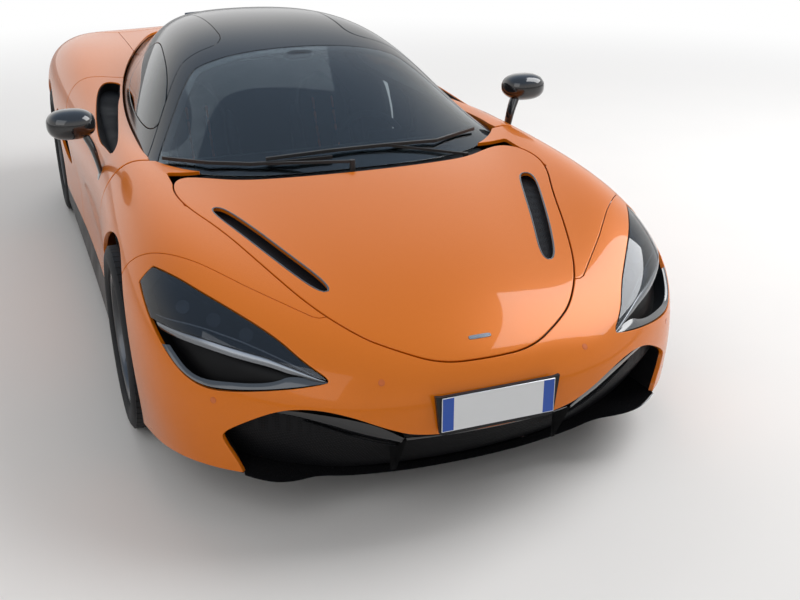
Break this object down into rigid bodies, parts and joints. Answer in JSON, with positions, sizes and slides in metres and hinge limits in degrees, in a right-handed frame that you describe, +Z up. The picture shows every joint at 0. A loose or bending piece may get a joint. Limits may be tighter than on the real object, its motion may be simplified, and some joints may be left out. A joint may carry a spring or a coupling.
{
  "type": "mid-engined supercar",
  "caption": "Low two-seat mid-engined supercar with dihedral doors, rear-hinged bonnet, steered front wheels and free-turning road wheels.",
  "frame": {"origin": "on the ground, at the middle of the car's length and width", "axes": "+Z up, -Y towards the nose, +X to the car's left"},
  "size_m": [2.152, 4.539, 1.196],
  "materials": {
    "alloy": "satin",
    "black": "satin",
    "black_gloss": "gloss",
    "carbon": "satin",
    "fabric": "satin",
    "glass": "gloss",
    "lamp": "gloss",
    "paint": "gloss",
    "plate": "gloss",
    "rim": "satin",
    "steel": "brushed",
    "tyre": "matte"
  },
  "bodies": {
    "car": {"dashboard": "fabric", "diffuser": "carbon", "engine_block": "alloy", "engine_cover": "black_gloss", "exhausts": "steel", "front_bumper": "paint", "front_fenders": "paint", "front_grille": "black", "front_suspension": "steel", "headlamps": "lamp", "number_plate": "plate", "rear_bumper": "paint", "rear_fenders": "paint", "rear_frame": "alloy", "rear_glass": "glass", "rear_knuckles": "alloy", "rear_mesh": "black", "rear_suspension": "steel", "rear_wing": "paint", "roof": "black_gloss", "scuttle": "black", "seats": "fabric", "side_intakes": "black", "side_skirts": "paint", "splitter": "black_gloss", "steering_wheel": "fabric", "tail_lamps": "lamp", "tub": "carbon", "undertray": "carbon", "wheel_liners": "black", "windscreen": "glass", "wipers": "black"},
    "bonnet": {"bonnet": "paint"},
    "door_left": {"door_left": "paint", "door_glass_left": "glass", "mirror_left": "black_gloss"},
    "door_right": {"door_right": "paint", "door_glass_right": "glass", "mirror_right": "black_gloss"},
    "knuckle_left": {"front_knuckle_left": "alloy"},
    "knuckle_right": {"front_knuckle_right": "alloy"},
    "wheel_front_left": {"front_tyre_left": "tyre", "front_rim_left": "rim"},
    "wheel_front_right": {"front_tyre_right": "tyre", "front_rim_right": "rim"},
    "wheel_rear_left": {"rear_tyre_left": "tyre", "rear_rim_left": "rim"},
    "wheel_rear_right": {"rear_tyre_right": "tyre", "rear_rim_right": "rim"}
  },
  "joints": [
    {"name": "bonnet_hinge", "type": "hinge", "parent": "car", "child": "bonnet", "pos_m": [0, -0.905, 0.7524], "axis": [-1, 0, 0], "range_deg": [0, 60]},
    {"name": "door_left_hinge", "type": "hinge", "parent": "car", "child": "door_left", "pos_m": [0.803, -0.779, 0.779], "axis": [0.6294, -0.6738, -0.3872], "range_deg": [0, 80]},
    {"name": "door_right_hinge", "type": "hinge", "parent": "car", "child": "door_right", "pos_m": [-0.803, -0.779, 0.779], "axis": [0.6294, 0.6738, 0.3872], "range_deg": [0, 80]},
    {"name": "steer_left", "type": "hinge", "parent": "car", "child": "knuckle_left", "pos_m": [0.765, -1.1915, 0.32], "axis": [0, 0, 1], "range_deg": [-32, 32]},
    {"name": "steer_right", "type": "hinge", "parent": "car", "child": "knuckle_right", "pos_m": [-0.765, -1.1915, 0.32], "axis": [0, 0, 1], "range_deg": [-32, 32]},
    {"name": "spin_front_left", "type": "hinge", "parent": "knuckle_left", "child": "wheel_front_left", "pos_m": [0.837, -1.1915, 0.327], "axis": [1, 0, 0], "continuous": true},
    {"name": "spin_front_right", "type": "hinge", "parent": "knuckle_right", "child": "wheel_front_right", "pos_m": [-0.837, -1.1915, 0.327], "axis": [1, 0, 0], "continuous": true},
    {"name": "spin_rear_left", "type": "hinge", "parent": "car", "child": "wheel_rear_left", "pos_m": [0.8145, 1.4785, 0.3455], "axis": [1, 0, 0], "continuous": true},
    {"name": "spin_rear_right", "type": "hinge", "parent": "car", "child": "wheel_rear_right", "pos_m": [-0.8145, 1.4785, 0.3455], "axis": [1, 0, 0], "continuous": true}
  ],
  "couplings": [
    {"joint": "steer_right", "follows": "steer_left", "ratio": 1}
  ]
}
